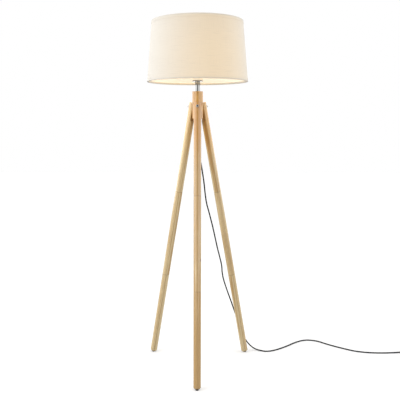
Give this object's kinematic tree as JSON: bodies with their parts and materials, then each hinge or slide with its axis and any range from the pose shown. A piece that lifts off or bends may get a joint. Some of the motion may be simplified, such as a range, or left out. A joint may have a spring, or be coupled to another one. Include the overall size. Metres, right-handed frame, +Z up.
{
  "type": "tripod floor lamp",
  "caption": "Floor lamp with a tapered drum shade on a short bright neck and hub carried by splayed sectional wooden legs, with a mains lead and foot switch.",
  "frame": {"origin": "on the floor, under the vertical axis of the hub and shade", "axes": "+Z up the hub's axis, front leg towards -Y, mains lead leaving towards +X"},
  "size_m": [1.386, 0.5265, 1.5006],
  "materials": {
    "shade_cloth": "plain-weave cream linen-look cloth, matt",
    "shade_backing": "white styrene backing sheet",
    "white_wire": "white powder coat",
    "chrome": "polished chrome plate",
    "plated_steel": "bright zinc or nickel plate",
    "brass": "plain machined brass",
    "ivory_plastic": "moulded ivory thermoplastic",
    "ceramic": "white unglazed insulator",
    "opal": "opal diffusing lamp body",
    "wood": "light solid wood under a clear satin varnish",
    "rubber": "dark rubber",
    "black_pvc": "black flexible PVC",
    "black_plastic": "moulded black plastic, fine texture"
  },
  "bodies": {
    "lamp": {"shade_fabric": "shade_cloth", "top_hem": "shade_cloth", "bottom_hem": "shade_cloth", "shade_liner": "shade_backing", "top_wire_ring": "white_wire", "bottom_wire_ring": "white_wire", "spider_arms": "white_wire", "fitter_ring": "white_wire", "neck_tube": "chrome", "neck_disc": "chrome", "threaded_tube": "plated_steel", "hub_washer": "plated_steel", "hub_nut": "plated_steel", "leg_screws": "plated_steel", "leg_screw_washers": "plated_steel", "leg_joint_bolts": "plated_steel", "bulb_cap": "plated_steel", "plug_pins": "plated_steel", "switch_screws": "plated_steel", "switch_spring": "plated_steel", "hub_inserts": "brass", "leg_joint_inserts": "brass", "holder_thread_shell": "brass", "holder_contacts": "brass", "bulb_contact": "brass", "switch_terminals": "brass", "holder_base": "ivory_plastic", "holder_body": "ivory_plastic", "shade_clamp_ring": "ivory_plastic", "holder_insert": "ceramic", "bulb_globe": "opal", "bulb_body": "opal", "hub": "wood", "front_leg_upper": "wood", "front_leg_middle": "wood", "front_leg_lower": "wood", "left_leg_upper": "wood", "left_leg_middle": "wood", "left_leg_lower": "wood", "right_leg_upper": "wood", "right_leg_middle": "wood", "right_leg_lower": "wood", "front_foot_pad": "rubber", "left_foot_pad": "rubber", "right_foot_pad": "rubber", "cord_gland": "black_pvc", "inner_lead": "black_pvc", "cord_run": "black_pvc", "cord_lead": "black_pvc", "cord_coil": "black_pvc", "cord_tail": "black_pvc", "coil_tie": "black_pvc", "switch_reliefs": "black_pvc", "plug_body": "black_pvc", "plug_pin_sleeves": "black_pvc", "plug_relief": "black_pvc", "switch_base": "black_plastic", "switch_cover": "black_plastic"},
    "button": {"switch_button": "black_plastic"}
  },
  "joints": [
    {"name": "switch_press", "type": "slide", "parent": "lamp", "child": "button", "axis": [0, 0, -1], "range_m": [0, 0.003], "stiffness_N_per_m": 400, "springref_m": -0.002, "deforming": ["switch_spring"]}
  ]
}
